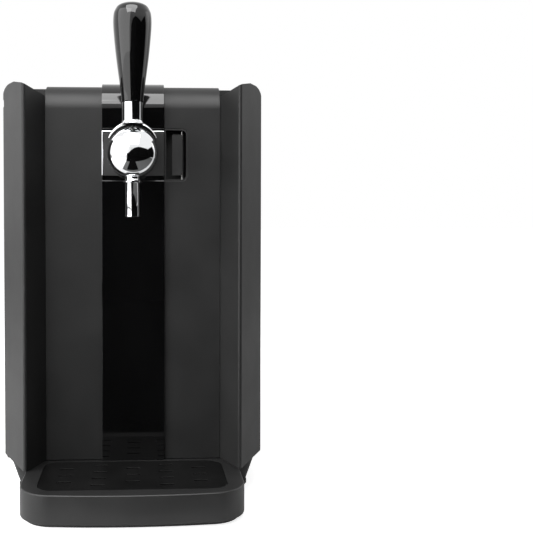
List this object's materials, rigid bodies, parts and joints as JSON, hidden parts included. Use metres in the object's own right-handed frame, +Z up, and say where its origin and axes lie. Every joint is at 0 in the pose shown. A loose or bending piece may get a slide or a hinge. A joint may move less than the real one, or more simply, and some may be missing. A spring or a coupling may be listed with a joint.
{
  "type": "mini keg beer dispenser",
  "caption": "Free-standing chilled dispenser for a small pressurised keg, with a hinged front door, a ball tap with a pull handle and a slide-out drip tray.",
  "frame": {"origin": "middle of the footprint on the surface that the dispenser stands on", "axes": "+X to the viewer's right, -Y to the front where the tap is, +Z up"},
  "size_m": [0.267, 0.444, 0.4816],
  "materials": {
    "body_black": "fine moulded texture",
    "frame_black": "smooth moulded",
    "tray_black": "satin moulded",
    "grid_black": "satin moulded",
    "gloss_black": "polished",
    "chrome": "bright plated",
    "plate_grey": "satin",
    "steel": "plain",
    "magnet_grey": "nickel plated",
    "liner_grey": "smooth vacuum formed",
    "foam": "closed-cell foam",
    "rubber": "matt",
    "clear_hose": "translucent silicone",
    "lead_black": "satin",
    "nylon": "smooth",
    "aluminium": "extruded",
    "module_white": "fired",
    "pump_grey": "smooth",
    "board_green": "coated",
    "display_grey": "smooth"
  },
  "bodies": {
    "root": {"left_side_panel": "body_black", "right_side_panel": "body_black", "top_cover": "body_black", "rear_cover": "body_black", "base_frame": "frame_black", "front_frame": "frame_black", "fan_frame": "frame_black", "rocker_frame": "frame_black", "mains_inlet": "frame_black", "display_window": "gloss_black", "hinge_pins": "steel", "top_hinge_bracket": "steel", "rear_screws": "steel", "heat_sink_screws": "steel", "keeper_plate": "steel", "temperature_sensor": "steel", "power_supply": "steel", "rear_bulkhead": "steel", "keg_chamber_liner": "liner_grey", "chamber_insulation": "foam", "rubber_feet": "rubber", "keg_mat": "rubber", "coupling_seal": "rubber", "air_hose": "clear_hose", "power_lead": "lead_black", "air_coupling": "nylon", "heat_sink": "aluminium", "cold_plate": "aluminium", "thermoelectric_module": "module_white", "air_pump": "pump_grey", "control_board": "board_green", "display_module": "display_grey"},
    "fan_rotor": {"fan_rotor": "frame_black"},
    "power_rocker": {"power_rocker": "frame_black"},
    "drip_tray": {"drip_tray": "tray_black"},
    "drip_grid": {"drip_grid": "grid_black"},
    "door": {"front_panel": "body_black", "left_fin": "body_black", "right_fin": "body_black", "centre_strip": "gloss_black", "door_inner_panel": "frame_black", "door_insulation": "foam", "door_gasket": "rubber", "door_screws": "steel", "tap_mount_plate": "plate_grey", "tap_plate_trim": "chrome", "tap_ball": "chrome", "spout_tube": "chrome", "tube_guide": "nylon", "lever_pivot_pin": "steel", "recess_cup": "frame_black", "release_lever_pin": "steel", "release_spring": "steel"},
    "tap_lever": {"lever_shank": "steel", "handle_ferrule": "chrome", "tap_handle": "gloss_black"},
    "valve_plunger": {"valve_plunger": "nylon"},
    "release_lever": {"release_lever": "frame_black"},
    "release_slide": {"release_slide": "frame_black", "slide_magnet": "magnet_grey"}
  },
  "joints": [
    {"name": "door_swing", "type": "hinge", "parent": "root", "child": "door", "pos_m": [-0.127, -0.0825, 0.032], "axis": [0, 0, -1], "range_deg": [0, 100]},
    {"name": "lever_tilt", "type": "hinge", "parent": "door", "child": "tap_lever", "pos_m": [0, -0.155, 0.358], "axis": [1, 0, 0], "range_deg": [0, 28]},
    {"name": "plunger_slide", "type": "slide", "parent": "door", "child": "valve_plunger", "axis": [0, 1, 0], "range_m": [0, 0.00663]},
    {"name": "release_turn", "type": "hinge", "parent": "door", "child": "release_lever", "pos_m": [0.0499, -0.104, 0.34025], "axis": [0, 0, 1], "range_deg": [0, 20.4]},
    {"name": "release_slide_move", "type": "slide", "parent": "door", "child": "release_slide", "axis": [-1, 0, 0], "range_m": [0, 0.00479], "stiffness_N_per_m": 160, "springref_m": -0.0041},
    {"name": "tray_slide", "type": "slide", "parent": "root", "child": "drip_tray", "axis": [0, -1, 0], "range_m": [0, 0.13]},
    {"name": "grid_lift", "type": "slide", "parent": "drip_tray", "child": "drip_grid", "axis": [0, 0, 1], "range_m": [0, 0.06]},
    {"name": "fan_spin", "type": "hinge", "parent": "root", "child": "fan_rotor", "pos_m": [0, 0.2108, 0.2], "axis": [0, 1, 0], "continuous": true},
    {"name": "rocker_tip", "type": "hinge", "parent": "root", "child": "power_rocker", "pos_m": [-0.0865, 0.216, 0.098], "axis": [-1, 0, 0], "range_deg": [0, 20]}
  ],
  "couplings": [
    {"joint": "plunger_slide", "follows": "lever_tilt", "m_per_rad": 0.013368},
    {"joint": "release_turn", "follows": "release_slide_move", "rad_per_m": 72.9}
  ]
}
